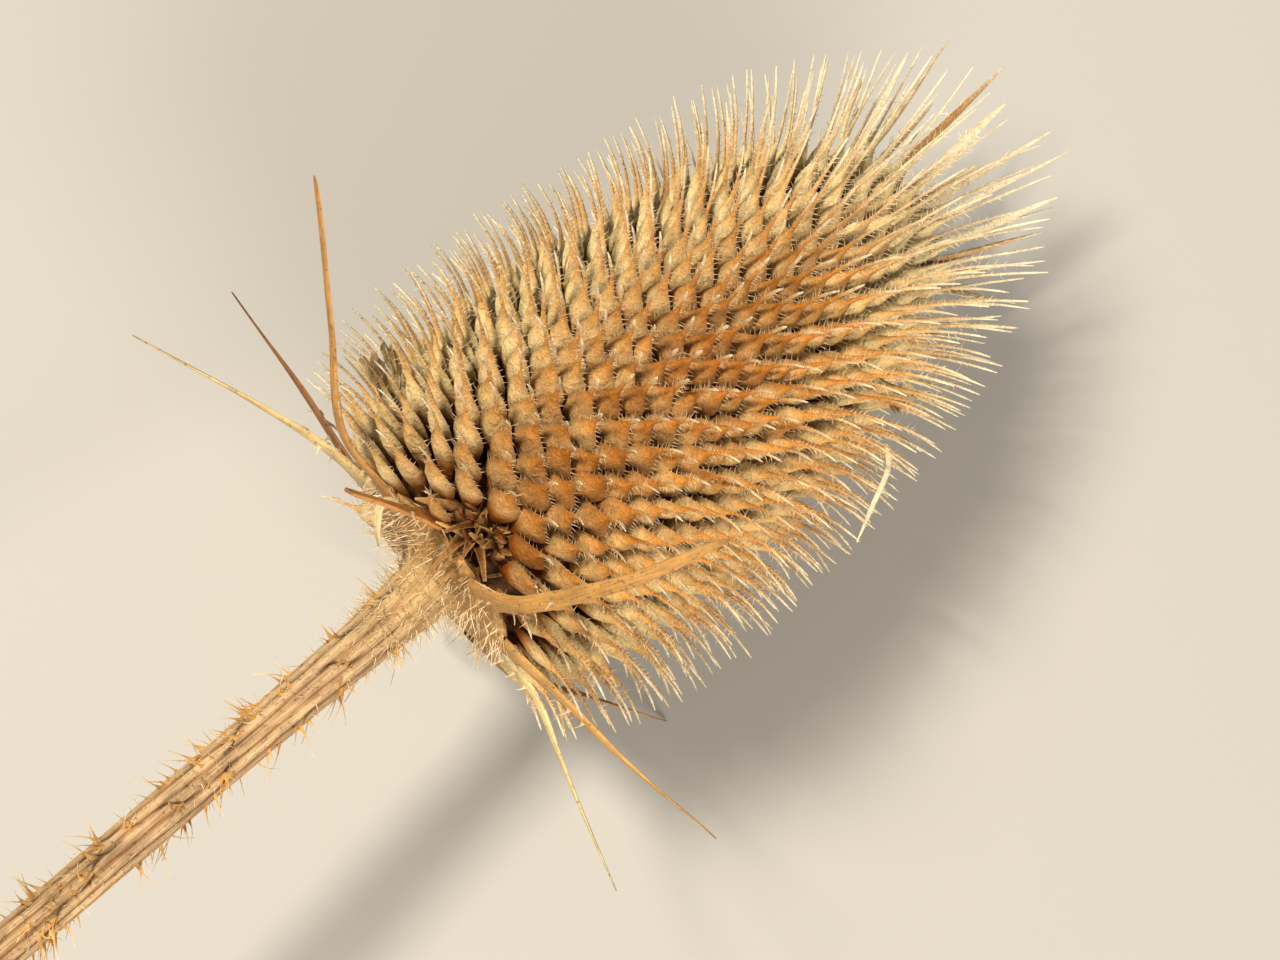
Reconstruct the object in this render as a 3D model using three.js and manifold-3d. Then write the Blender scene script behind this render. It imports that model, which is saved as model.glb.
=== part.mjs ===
// A dried teasel seed head, lying on its side on the tips of two lower bracts and its own awns.
// Everything is made in the head's own frame: +X runs along the head from its base to its tip,
// and an angle round the head is measured from +Y towards +Z. Millimetres throughout.
// At the end the whole head is rolled and tipped into the pose in which it lies.
import * as THREE from 'three';
import { mergeVertices } from 'three/addons/utils/BufferGeometryUtils.js';
import Module from 'manifold-3d';

const wasm = await Module();
wasm.setup();

// Driving dimensions, in millimetres and degrees.
const FLOOR_SIDE = 172; // the side of the head that faces the ground
const TIP_DOWN = 9; // how far the tip dips below the level
const GAP = 0.3; // between neighbouring pieces
const SPIKES = 360; // each stands for two neighbouring scales of the real head
const GOLDEN = -137.50776; // turn from one scale to the next
const SPIKE_WIDTH = 2.5;
const SPIKE_ROOT = 1.2; // how deep a spike is rooted in the core
const SPIKE_SHOULDER = 0.42; // width at the shoulder, as a share of the body's width
const BODY_LENGTH = 5.3; // of a scale, from the core to its shoulder
const FIRST_SCALE = 1.3;
const LAST_SCALE = 43.6;
const STEM_END = -70;
const STEM_RIBS = 8;
const STEM_PRICKLES = 44;
const RIM_RADIUS = 8.7;
const BRACT_ROOT = RIM_RADIUS + 0.25 + GAP; // where a bract starts, clear of the rim

// The head along its length: position, core radius, angle of a scale's body and of its awn
// from the head's axis, and the awn's length.
const STATIONS = [
  [0.0, 7.4, 90, 95, 6.0],
  [1.3, 8.6, 88, 94, 6.0],
  [5.0, 10.0, 75, 88, 6.4],
  [10.0, 10.8, 66, 82, 6.4],
  [20.0, 10.9, 58, 74, 6.1],
  [30.0, 9.7, 50, 66, 6.8],
  [38.0, 7.8, 42, 54, 8.0],
  [42.0, 6.2, 34, 37, 10.0],
  [45.5, 4.3, 22, 16, 13.5],
];

// The outline of the solid core: position along the head and radius.
const CORE = [
  [0, 0], [0, 7.0], [1.0, 8.4], [3, 9.4], [7, 10.5], [14, 11], [22, 10.8],
  [30, 9.7], [38, 7.8], [43, 5.7], [46.5, 3.2], [47.6, 0],
];
// The crown of the core, where the tuft stands: radius, and position with the tuft's own foot
// clear of it.
const CORE_CROWN = [[0, 47.9], [3.2, 47.2], [4.4, 46.0]];

// The outline of the stem and the flared neck that carries the head.
const STEM = [
  [STEM_END + 1.2, 0], [STEM_END + 0.8, 0.8], [STEM_END, 1.15], [STEM_END, 1.6], [STEM_END + 0.3, 1.8],
  [-48, 1.82], [-30, 1.84], [-22, 1.88], [-14, 2.0], [-10, 2.15], [-6, 2.4], [-3.6, 2.7],
  [-2.6, 3.3], [-2.1, 5.0], [-1.9, 7.2], [-1.5, RIM_RADIUS], [-0.8, 8.3], [-GAP, 6.6], [-GAP, 0],
];
// The stem bows a little to one side (side 90): position along it, and how far its middle is off
// the head's axis.
const STEM_BOW = [[STEM_END, 2.8], [-38, 1.8], [-22, 1.3], [-10, 0.95], [-4, 0.6], [-1.9, 0]];

// The long bracts under the head. Each follows a curve given as position along the head and
// distance from its axis, on one side of the head.
const BRACTS = {
  involucral_bract_01: { side: 270, width: 2.0, path: [[-1.2, BRACT_ROOT], [-1.8, 12.2], [-4.4, 20], [-9, 30.9]] },
  involucral_bract_02: { side: 250, width: 1.7, path: [[-1.0, BRACT_ROOT], [-0.4, 13], [1.0, 22], [2.2, 32]] },
  involucral_bract_03: { side: 300, width: 1.8, path: [[-1.3, BRACT_ROOT], [-1.9, 15], [1.9, 23.2], [7.1, 34.9]] },
  involucral_bract_04: { side: 337, width: 1.7, path: [[-1.4, BRACT_ROOT], [-3.0, 11.8], [-5.0, 16.4], [-7.4, 22.2]] },
  involucral_bract_05: { side: 27, width: 2.1, path: [[-1.5, BRACT_ROOT], [-0.6, 14], [3.3, 20.4], [12.8, 27.8]] },
  involucral_bract_06: { side: 94, width: 1.7, path: [[-1.2, BRACT_ROOT], [-1.3, 13], [-2.9, 18.6], [-6.1, 30.3]] },
  involucral_bract_07: { side: 77, width: 1.8, path: [[-1.2, BRACT_ROOT], [-0.6, 14.4], [-0.1, 22], [1.2, 32.2]] },
  involucral_bract_08: { side: 132, width: 1.7, path: [[-1.2, BRACT_ROOT], [0.2, 14.6], [5.0, 22.0], [10.8, 31.0]] },
  involucral_bract_09: { side: 211, width: 1.7, path: [[-1.2, BRACT_ROOT], [0.1, 14.6], [4.6, 22.0], [9.9, 30.8]] },
  involucral_bract_10: { side: 174, width: 1.6, path: [[-1.3, BRACT_ROOT], [-1.2, 14], [-1.0, 19.2], [0.6, 23.2]] },
  broken_bract: { side: 308, width: 1.3, path: [[-1.9, BRACT_ROOT], [-3.0, 8.9], [-4.0, 7.3], [-4.7, 5.8]] },
};
const BRACT_THICKNESS = 0.7;
const BRACT_CLEARANCE = 0.9; // no awn comes nearer to a bract than half of this

// The tuft of long straight scales at the top: each one's tip.
const COMA_TIPS = [
  [65.2, -1, -8.7], [68.2, -3, -3.8], [63.0, 4, -0.5], [66.2, 1, 3.5], [67.2, -1, 5.8], [61.3, 4, 8.2],
  [59.6, 0.5, 9.8], [55.6, -5, 13.2], [58.0, 5, -9.4], [62.4, -7, -5.2], [62.0, -7.4, 1.6], [60.4, -6.2, 7.2],
];
const COMA_WIDTH = 0.85;

const DRY = { straw: 0xcfae74, head: 0xb98a4c, bract: 0xb78c52, awn: 0xe2d0a4 };

const rad = THREE.MathUtils.degToRad;
const group = new THREE.Group();
group.name = 'teasel_seed_head';

// A small repeatable generator, for the uneven growth of natural parts.
let seed = 7;
function rnd(low, high) {
  seed = (seed * 16807) % 2147483647;
  return low + (high - low) * (seed / 2147483647);
}

// Reads one column of a table of rows at a position between its rows.
function along(rows, x, column) {
  let i = 0;
  while (i < rows.length - 2 && rows[i + 1][0] < x) i += 1;
  const t = THREE.MathUtils.clamp((x - rows[i][0]) / (rows[i + 1][0] - rows[i][0]), 0, 1);
  return rows[i][column] + t * (rows[i + 1][column] - rows[i][column]);
}

function outward(side) {
  return new THREE.Vector3(0, Math.cos(rad(side)), Math.sin(rad(side)));
}

function sideways(side) {
  return new THREE.Vector3(0, -Math.sin(rad(side)), Math.cos(rad(side)));
}

// A three.js geometry as a closed Manifold solid, its faces turned outwards.
function solid(geometry) {
  const bare = new THREE.BufferGeometry();
  bare.setAttribute('position', geometry.getAttribute('position').clone());
  if (geometry.index) bare.setIndex(geometry.index.clone());
  const merged = mergeVertices(bare, 1e-4);
  const index = merged.index.array;
  const corner = (i) => new THREE.Vector3().fromBufferAttribute(merged.getAttribute('position'), i);
  const faces = [];
  let volume = 0;
  for (let i = 0; i < index.length; i += 3) {
    const [a, b, c] = [index[i], index[i + 1], index[i + 2]];
    if (a !== b && b !== c && c !== a) {
      faces.push([a, b, c]);
      volume += corner(a).dot(corner(b).cross(corner(c)));
    }
  }
  const facing = volume > 0 ? faces : faces.map(([a, b, c]) => [a, c, b]);
  return new wasm.Manifold(new wasm.Mesh({
    numProp: 3,
    vertProperties: new Float32Array(merged.getAttribute('position').array),
    triVerts: new Uint32Array(facing.flat()),
  }));
}

function add(name, body, colour, roughness) {
  const mesh = body.getMesh();
  const geometry = new THREE.BufferGeometry();
  geometry.setAttribute('position', new THREE.BufferAttribute(new Float32Array(mesh.vertProperties), 3));
  geometry.setIndex(new THREE.BufferAttribute(new Uint32Array(mesh.triVerts), 1));
  const material = new THREE.MeshStandardMaterial({ color: colour, roughness, metalness: 0, flatShading: true });
  const node = new THREE.Mesh(geometry, material);
  node.name = name;
  group.add(node);
}

// A solid of revolution about the head's axis, from an outline of [position, radius] rows.
function turned(outline, segments) {
  const points = outline.map(([x, r]) => new THREE.Vector2(r, x));
  const geometry = new THREE.LatheGeometry(points, segments);
  geometry.rotateZ(-Math.PI / 2);
  return geometry;
}

// Moves each vertex of a geometry by a function of its position.
function bend(geometry, move) {
  const position = geometry.getAttribute('position');
  const v = new THREE.Vector3();
  for (let i = 0; i < position.count; i += 1) {
    v.fromBufferAttribute(position, i);
    move(v);
    position.setXYZ(i, v.x, v.y, v.z);
  }
  return geometry;
}

// A tapering blade along a curve: flat across `across`, thin the other way.
function blade(curve, across, width, thickness, segments, tipShare) {
  const geometry = new THREE.CylinderGeometry(tipShare, 1, 1, 4, segments);
  geometry.rotateY(Math.PI / 4);
  return bend(geometry, (v) => {
    const t = v.y + 0.5;
    const centre = curve.getPointAt(THREE.MathUtils.clamp(t, 0, 1));
    const tangent = curve.getTangentAt(THREE.MathUtils.clamp(t, 0, 1));
    const up = new THREE.Vector3().crossVectors(tangent, across).normalize();
    const belly = 1 + 0.25 * Math.sin(Math.PI * Math.min(t * 2, 1));
    const x = v.x * width * 0.7 * belly;
    const z = v.z * thickness * 0.7 * belly;
    v.copy(centre).addScaledVector(across, x).addScaledVector(up, z);
  });
}

// One scale of the head: a keeled body from the core to its shoulder, and a stiff awn beyond.
function spike(x, side, width) {
  const radius = along(STATIONS, x, 1);
  const bodyAngle = rad(along(STATIONS, x, 2) + rnd(-3, 3));
  const awnAngle = rad(along(STATIONS, x, 3) + rnd(-3, 3));
  const awnLength = along(STATIONS, x, 4) * rnd(0.92, 1.02);
  const out = outward(side);
  const across = sideways(side);
  const body = new THREE.Vector3(Math.cos(bodyAngle), 0, 0).addScaledVector(out, Math.sin(bodyAngle));
  const awn = new THREE.Vector3(Math.cos(awnAngle), 0, 0).addScaledVector(out, Math.sin(awnAngle));
  const base = new THREE.Vector3(x, 0, 0).addScaledVector(out, radius);
  const shoulder = base.clone().addScaledVector(body, BODY_LENGTH);
  const tip = shoulder.clone().addScaledVector(awn, awnLength);
  const geometry = new THREE.ConeGeometry(1, 1, 3, 2);
  return bend(geometry, (v) => {
    if (v.y > 0.25) {
      v.copy(tip);
      return;
    }
    const atShoulder = v.y > -0.25;
    const centre = atShoulder ? shoulder : base.clone().addScaledVector(body, -SPIKE_ROOT);
    const size = (width / 2) * (atShoulder ? SPIKE_SHOULDER * 2 : 1.1);
    const up = new THREE.Vector3().crossVectors(across, body);
    const [sx, sz] = [v.x * size, v.z * size * 0.8];
    v.copy(centre).addScaledVector(across, sx).addScaledVector(up, -sz);
  });
}

// The seed head: a solid core set with scales, which follow each other by the golden angle and
// each have the same room on the head's surface.
function seedHead() {
  const steps = 200;
  const room = [0];
  const place = [FIRST_SCALE];
  for (let i = 1; i <= steps; i += 1) {
    const x = FIRST_SCALE + ((LAST_SCALE - FIRST_SCALE) * i) / steps;
    const girth = along(STATIONS, x, 1) + 4.2;
    room.push(room[i - 1] + girth);
    place.push(x);
  }
  const guards = Object.values(BRACTS).map((shape) => bract(shape, BRACT_CLEARANCE));
  const scales = [];
  let k = 1;
  for (let n = 0; n < SPIKES; n += 1) {
    const want = ((n + 0.5) / SPIKES) * room[steps];
    while (room[k] < want) k += 1;
    const t = (want - room[k - 1]) / (room[k] - room[k - 1]);
    const x = place[k - 1] + t * (place[k] - place[k - 1]);
    const scale = solid(spike(x, n * GOLDEN, SPIKE_WIDTH * (x > 38 ? 0.8 : 1)));
    if (guards.every((guard) => guard.intersect(scale).isEmpty())) scales.push(scale);
  }
  return wasm.Manifold.union([solid(turned(CORE, 18)), ...scales]);
}

// The stem: ribbed along its length, flared into the neck under the head, set with prickles
// that lean back towards the cut end, which is dished where the pith has shrunk.
function stem() {
  const tube = bend(turned(STEM, 24), (v) => {
    const side = Math.atan2(v.z, v.y);
    const rib = v.x > STEM_END + 0.2 && v.x < -3.4 ? 1 + 0.06 * Math.cos(STEM_RIBS * side) : 1;
    v.y *= rib;
    v.z = v.z * rib + along(STEM_BOW, v.x, 1);
  });
  const prickles = [];
  for (let n = 0; n < STEM_PRICKLES; n += 1) {
    const x = -5.5 + ((STEM_END + 9.5) * n) / STEM_PRICKLES;
    const side = Math.round(n * 3.1) * (360 / STEM_RIBS);
    const out = outward(side);
    const radius = along(STEM.slice(5, 12), x, 1);
    const middle = new THREE.Vector3(x, 0, along(STEM_BOW, x, 1));
    const root = middle.clone().addScaledVector(out, radius * 0.7);
    const tip = middle.clone().addScaledVector(out, radius + rnd(1.2, 2.1));
    tip.x -= rnd(0.3, 1.0);
    const prickle = bend(new THREE.ConeGeometry(1, 1, 3, 1), (v) => {
      const top = v.y > 0;
      const [sx, sz] = [v.x * 0.36, v.z * 0.6];
      v.copy(top ? tip : root);
      if (!top) v.addScaledVector(sideways(side), sx).add(new THREE.Vector3(sz, 0, 0));
    });
    prickles.push(solid(prickle));
  }
  return wasm.Manifold.union([solid(tube), ...prickles]);
}

// A bract, or with some room added all round, the space that the awns leave free for it.
function bract({ side, width, path }, room = 0) {
  const points = path.map(([x, r]) => outward(side).multiplyScalar(r).add(new THREE.Vector3(x, 0, 0)));
  const curve = new THREE.CatmullRomCurve3(points, false, 'centripetal');
  const tipShare = 0.16 + (room * 0.8) / width;
  return solid(blade(curve, sideways(side), width + room, BRACT_THICKNESS + room, 8, tipShare));
}

// One long scale of the tuft: a straight, slender blade from the crown of the core to its tip.
function comaBract([x, y, z]) {
  const tip = new THREE.Vector3(x, y, z);
  const reach = Math.hypot(y, z);
  const side = THREE.MathUtils.radToDeg(Math.atan2(z, y));
  const rootRadius = THREE.MathUtils.clamp(reach * 0.42, 1.0, 3.7);
  const crown = along(CORE_CROWN, rootRadius, 1) + GAP;
  const root = outward(side).multiplyScalar(rootRadius).add(new THREE.Vector3(crown, 0, 0));
  const middle = root.clone().lerp(tip, 0.5);
  const curve = new THREE.CatmullRomCurve3([root, middle, tip]);
  return solid(blade(curve, sideways(side), COMA_WIDTH, COMA_WIDTH * 0.8, 2, 0.2));
}

add('stem', stem(), DRY.straw, 0.8);
add('seed_head', seedHead(), DRY.head, 0.75);
Object.entries(BRACTS).forEach(([name, shape]) => add(name, bract(shape), DRY.bract, 0.7));
COMA_TIPS.forEach((tip, i) => add(`coma_bract_${String(i + 1).padStart(2, '0')}`, comaBract(tip), DRY.awn, 0.7));

// The pose in which the head lies: the ground side down, the tip dipped, the lowest point at zero.
const pose = new THREE.Matrix4().makeRotationY(rad(TIP_DOWN));
pose.multiply(new THREE.Matrix4().makeRotationX(rad(-90 - FLOOR_SIDE)));
const bounds = new THREE.Box3();
group.children.forEach((node) => {
  node.geometry.applyMatrix4(pose);
  node.geometry.computeBoundingBox();
  bounds.union(node.geometry.boundingBox);
});
const centre = bounds.getCenter(new THREE.Vector3());
group.children.forEach((node) => {
  node.geometry.translate(-centre.x, -centre.y, -bounds.min.z);
  node.geometry.computeVertexNormals();
});

export default group;
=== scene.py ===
"""A dried teasel seed head lying on its side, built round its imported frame."""
import math

import bpy
import mathutils
import numpy as np
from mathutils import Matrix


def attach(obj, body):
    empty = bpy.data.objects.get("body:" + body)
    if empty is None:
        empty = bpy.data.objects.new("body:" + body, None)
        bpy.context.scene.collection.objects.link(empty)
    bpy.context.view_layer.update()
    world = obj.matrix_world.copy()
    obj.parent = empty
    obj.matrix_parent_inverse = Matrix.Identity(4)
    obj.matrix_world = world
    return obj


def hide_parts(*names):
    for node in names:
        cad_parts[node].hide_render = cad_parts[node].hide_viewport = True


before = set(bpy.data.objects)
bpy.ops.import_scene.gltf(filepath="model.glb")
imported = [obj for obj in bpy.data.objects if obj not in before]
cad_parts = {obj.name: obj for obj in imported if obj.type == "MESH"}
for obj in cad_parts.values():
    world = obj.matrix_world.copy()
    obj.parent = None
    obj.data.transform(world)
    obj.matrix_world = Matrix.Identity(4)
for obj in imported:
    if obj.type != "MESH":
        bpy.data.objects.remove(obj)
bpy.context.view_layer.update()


# ----------------------------------------------------------
# Camera: a 100 mm lens looks almost straight down on the head, with its tip to the upper right
# and a little further away than its foot.

# The head's own frame is in millimetres, with +X along the head from its foot to its tip, and
# angles round the head from +Y towards +Z. Its points are rolled and tipped on to the ground:
# HEAD_FOOT is where the foot lies, FLOOR_SIDE the side underneath, TIP_DOWN how far the tip dips.
HEAD_FOOT = np.array([1.2218, 0.3808, 25.2883])
FLOOR_SIDE = math.radians(172)
TIP_DOWN = math.radians(9)
METRES = 0.001

roll = -math.pi / 2 - FLOOR_SIDE
ROLLED = np.array([
    [1, 0, 0],
    [0, math.cos(roll), -math.sin(roll)],
    [0, math.sin(roll), math.cos(roll)],
])
TIPPED = np.array([
    [math.cos(TIP_DOWN), 0, math.sin(TIP_DOWN)],
    [0, 1, 0],
    [-math.sin(TIP_DOWN), 0, math.cos(TIP_DOWN)],
])
HEAD_TO_ROW = TIPPED @ ROLLED


def laid(points):
    """Points of the head's frame in millimetres, turned, moved and given in metres."""
    return (np.asarray(points, float) @ HEAD_TO_ROW.T + HEAD_FOOT) * METRES


CAMERA_ELEVATION = math.radians(79.84)
CAMERA_AZIMUTH = math.radians(-40.45)
CAMERA_DISTANCE = 0.2963
CAMERA_TARGET_RIGHT = 0.01583
CAMERA_TARGET_UP = 0.00667

back = np.array([
    math.sin(CAMERA_AZIMUTH) * math.cos(CAMERA_ELEVATION),
    -math.cos(CAMERA_AZIMUTH) * math.cos(CAMERA_ELEVATION),
    math.sin(CAMERA_ELEVATION),
])
right = np.array([math.cos(CAMERA_AZIMUTH), math.sin(CAMERA_AZIMUTH), 0.0])
up = np.cross(back, right)
lens = bpy.data.cameras.new("camera")
lens.lens = 100
lens.sensor_width = 36
lens.clip_start = 0.01
lens.clip_end = 10
camera = bpy.data.objects.new("camera", lens)
bpy.context.scene.collection.objects.link(camera)
target = laid([0, 0, 0]) + right * CAMERA_TARGET_RIGHT + up * CAMERA_TARGET_UP
camera.location = target + back * CAMERA_DISTANCE
camera.rotation_mode = "QUATERNION"
camera.rotation_quaternion = mathutils.Vector(-back).to_track_quat("-Z", "Y")
bpy.context.scene.camera = camera


# ----------------------------------------------------------
# Floor: one large pale matt sheet under the head, not part of the object. It has no pattern, and
# takes the head's soft shadow.
FLOOR_REACH = 3.0


def linear(hex_colour):
    """An sRGB hex colour as linear red, green, blue and full alpha: a low channel is divided by
    12.92, and a higher one is moved by 0.055, scaled and raised to the power of 2.4."""
    parts = [int(hex_colour[i : i + 2], 16) / 255 for i in (1, 3, 5)]
    return [c / 12.92 if c <= 0.04045 else ((c + 0.055) / 1.055) ** 2.4 for c in parts] + [1.0]


def finish_of(name, **shader):
    """A new material with a bare Principled shader, and that shader."""
    material = bpy.data.materials.new(name)
    material.use_nodes = True
    skin = material.node_tree.nodes["Principled BSDF"]
    for socket, value in shader.items():
        skin.inputs[socket.replace("_", " ")].default_value = value
    return material, skin


floor_mesh = bpy.data.meshes.new("floor")
corners = [(x * FLOOR_REACH, y * FLOOR_REACH, 0) for x, y in ((-1, -1), (1, -1), (1, 1), (-1, 1))]
floor_mesh.from_pydata(corners, [], [(0, 1, 2, 3)])
floor = bpy.data.objects.new("floor", floor_mesh)
bpy.context.scene.collection.objects.link(floor)
pale_sheet, skin = finish_of("pale_matt_sheet", Roughness=0.9)
skin.inputs["Base Color"].default_value = linear("#b9b9b8")
floor_mesh.materials.append(pale_sheet)


# ----------------------------------------------------------
# Light: one soft warm key from the upper left of the view, a broad weak fill from the other
# side, and a dim even surround.
HEAD_MIDDLE = [28.0, 0.0, 0.0]


def soft_light(name, across, upward, towards, distance, size, watts, colour):
    """A square area light that stands off from the middle of the head, in the direction that the
    shares of the camera's right, up and back add up to, and is aimed back at it."""
    way = across * right + upward * up + towards * back
    way = way / np.linalg.norm(way)
    aim = laid(HEAD_MIDDLE)
    data = bpy.data.lights.new(name, "AREA")
    data.size = size
    data.energy = watts
    data.color = linear(colour)[:3]
    lamp = bpy.data.objects.new(name, data)
    lamp.location = aim + way * distance
    lamp.rotation_mode = "QUATERNION"
    lamp.rotation_quaternion = mathutils.Vector(-way).to_track_quat("-Z", "Y")
    bpy.context.scene.collection.objects.link(lamp)


soft_light("key", -0.46, 0.42, 0.95, distance=0.6, size=0.12, watts=4.4, colour="#fff2dc")
soft_light("fill", 0.6, -0.95, 0.75, distance=0.7, size=0.4, watts=5.2, colour="#fff3e2")
world = bpy.data.worlds.new("surround")
world.use_nodes = True
world.node_tree.nodes["Background"].inputs["Color"].default_value = linear("#f1ece4")
world.node_tree.nodes["Background"].inputs["Strength"].default_value = 0.22
bpy.context.scene.world = world
bpy.context.scene.view_settings.view_transform = "Standard"


# ----------------------------------------------------------
# Core: the solid, dark, dry heart of the head, on which the scales stand. It shows only deep
# between them. Grown in one piece, dull and pitted.
# position along the head, and distance from its axis
CORE = np.array([
    [-0.4, 0.0], [-0.4, 7.0], [0.9, 8.4], [3, 9.4], [7, 10.4], [14, 10.9], [22, 10.7],
    [30, 9.6], [38, 7.7], [43, 5.6], [46.3, 3.1], [47.6, 0.0],
])
CORE_STATIONS = 90
CORE_AROUND = 120
AXIS = np.array([1.0, 0.0, 0.0])


def outward(side):
    """The direction away from the head's axis on each side: its cosine along +Y and its sine
    along +Z, for an array of angles in radians."""
    side = np.asarray(side, float)
    return np.stack([np.zeros_like(side), np.cos(side), np.sin(side)], -1)


def wire(material, source, socket):
    """Links a source to a socket. A source that is a node stands for its first output."""
    if isinstance(source, bpy.types.Node):
        source = source.outputs[0]
    material.node_tree.links.new(source, socket)


def node(material, kind, settings=None, **links):
    """Adds a node, sets its properties or unlinked inputs, and links its inputs by name."""
    made = material.node_tree.nodes.new("ShaderNode" + kind)
    for name, value in (settings or {}).items():
        if name in made.inputs:
            made.inputs[name].default_value = value
        else:
            setattr(made, name, value)
    for name, source in links.items():
        socket = made.inputs[int(name[1:])] if name[0] == "_" else made.inputs[name.replace("_", " ")]
        wire(material, source, socket)
    return made


def grid_faces(rings, around):
    """The quads of a tube: each takes two neighbours of one ring and the same two of the next."""
    ring = np.arange(rings - 1)[:, None] * around
    spot = np.arange(around)[None]
    after = (spot + 1) % around
    quads = [ring + spot, ring + after, ring + around + after, ring + around + spot]
    return np.stack(quads, -1).reshape(-1, 4)


def piece(name, points, faces, material, tint=None, uv=None, crease=35):
    """A mesh object from points in the head's frame and arrays of faces, riding on the part.
    tint is a colour for each point, uv a place for each point on the piece's own map in
    millimetres, and edges that bend by more than crease degrees are sharp."""
    mesh = bpy.data.meshes.new(name)
    points = laid(points).reshape(-1, 3)
    lists = [faces] if isinstance(faces, np.ndarray) else faces
    sizes = np.concatenate([np.full(len(f), f.shape[1]) for f in lists])
    corners = np.concatenate([f.ravel() for f in lists])
    mesh.vertices.add(len(points))
    mesh.vertices.foreach_set("co", points.astype(np.float32).ravel())
    mesh.loops.add(len(corners))
    mesh.loops.foreach_set("vertex_index", corners.astype(np.int32))
    mesh.polygons.add(len(sizes))
    starts = np.concatenate([[0], np.cumsum(sizes)[:-1]])
    mesh.polygons.foreach_set("loop_start", starts.astype(np.int32))
    mesh.polygons.foreach_set("loop_total", sizes.astype(np.int32))
    mesh.update(calc_edges=True)
    if tint is not None:
        colours = np.concatenate([tint.reshape(-1, 3), np.ones((len(points), 1))], 1)
        layer = mesh.color_attributes.new("tint", "FLOAT_COLOR", "POINT")
        layer.data.foreach_set("color", colours.astype(np.float32).ravel())
    if uv is not None:
        layer = mesh.uv_layers.new(name="grain")
        layer.data.foreach_set("uv", uv.reshape(-1, 2)[corners].astype(np.float32).ravel())
    mesh.shade_smooth()
    mesh.set_sharp_from_angle(angle=math.radians(crease))
    mesh.validate()
    mesh.materials.append(material)
    made = bpy.data.objects.new(name, mesh)
    bpy.context.scene.collection.objects.link(made)
    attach(made, "root")
    return made


def pitted(x, side):
    """The core's uneven surface as a share of its radius: two crossing sets of shallow waves."""
    return 1 + 0.03 * np.sin(side * 21 + x * 2.6) * np.sin(side * 13 - x * 3.1)


distance = np.concatenate([[0], np.cumsum(np.hypot(*np.diff(CORE, axis=0).T))])
steps = np.linspace(0, distance[-1], CORE_STATIONS)
core_x = np.interp(steps, distance, CORE[:, 0])
core_r = np.interp(steps, distance, CORE[:, 1])
core_side = np.linspace(0, 2 * np.pi, CORE_AROUND, endpoint=False)
core_out = core_r[:, None] * pitted(core_x[:, None], core_side)
core_points = core_x[:, None, None] * AXIS + core_out[..., None] * outward(core_side)

# soft dark pith, dull all over, with about one blotch to the millimetre
BLOTCHES = 0.9
dark_pith, skin = finish_of("dark_dry_pith", Roughness=0.9)
place = node(dark_pith, "TexCoord").outputs["Object"]
blotch = node(dark_pith, "TexNoise", {"Scale": BLOTCHES / METRES, "Detail": 5}, Vector=place)
shade = node(dark_pith, "ValToRGB", Fac=blotch)
shade.color_ramp.elements[0].position = 0.35
shade.color_ramp.elements[0].color = linear("#1c0e04")
shade.color_ramp.elements[1].position = 0.75
shade.color_ramp.elements[1].color = linear("#6b3f16")
wire(dark_pith, shade, skin.inputs["Base Color"])
core = piece("core", core_points, grid_faces(CORE_STATIONS, CORE_AROUND), dark_pith)
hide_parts("seed_head")


# ----------------------------------------------------------
# Scales: stiff boat-shaped scales in crossing spirals, each drawn out into a sharp awn with a
# comb of bristles down both edges. Dry and crumpled, cream on the shoulder, golden brown below it
# and fibrous along the awn. They grow from the core.
SCALES = 862
GOLDEN = math.radians(-137.50776)
FIRST_SCALE = -0.5
LAST_SCALE = 46.9
ABOVE_CORE = 4.2
# position along the head, core radius, angle of a scale's body and of its awn, awn length
STATIONS = [
    [-0.8, 6.6, 98, 113, 5.0],
    [0.5, 7.9, 91, 108, 5.6],
    [1.5, 8.5, 86, 105, 5.9],
    [5.0, 9.9, 74, 102, 6.4],
    [10.0, 10.6, 64, 98, 6.4],
    [15.0, 10.9, 60, 94, 6.2],
    [20.0, 10.8, 57, 90, 6.0],
    [26.0, 10.2, 52, 83, 6.2],
    [32.0, 9.3, 47, 73, 6.8],
    [38.0, 7.7, 41, 60, 7.8],
    [42.0, 6.0, 33, 44, 9.0],
    [46.0, 3.6, 22, 24, 10.5],
    [47.2, 2.0, 12, 13, 10.5],
]
# one scale from its root: distance from the core, then half its width, how far its outer
# face bulges, and how far its inner face does
BODY = np.array([
    [-0.8, 0.44, 0.22, 0.10],
    [0.8, 0.62, 0.38, 0.04],
    [2.0, 0.98, 0.64, -0.20],
    [3.1, 1.24, 0.88, -0.42],
    [3.9, 1.30, 0.92, -0.52],
    [4.7, 1.06, 0.80, -0.40],
    [5.4, 0.60, 0.54, -0.14],
    [6.2, 0.27, 0.31, 0.06],
])
# the same for its awn, with the place along it as a share of the awn's length
AWN = np.array([
    [0.12, 0.185, 0.20, 0.10],
    [0.36, 0.155, 0.15, 0.10],
    [0.62, 0.135, 0.12, 0.10],
    [0.86, 0.115, 0.10, 0.09],
    [1.0, 0.05, 0.04, 0.03],
])
AWN_IN_BODY = 0.7
# how far the scale has turned from its body's angle to its awn's, at each of those places
BEND = np.array([0, 0, 0, 0.02, 0.05, 0.09, 0.14, 0.22, 0.34, 0.56, 0.8, 0.96, 1.0])
# a section across a scale: shares of half its width, and of its bulge or of its inner depth
SECTION = np.array([
    [-1, -0.12], [-0.68, 0.5], [0, 1], [0.68, 0.5], [1, -0.12], [0.45, -1], [-0.45, -1],
])
LEFT_EDGE, RIGHT_EDGE = 0, 4
CILIA = 15
CILIUM_THICKNESS = 0.046
CILIUM_ROOT = 0.06
CILIA_LOST = 0.12
NEEDLE_POINTS = 4
GROUND_CLEARANCE = 0.25

dice = np.random.default_rng(31)


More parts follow.
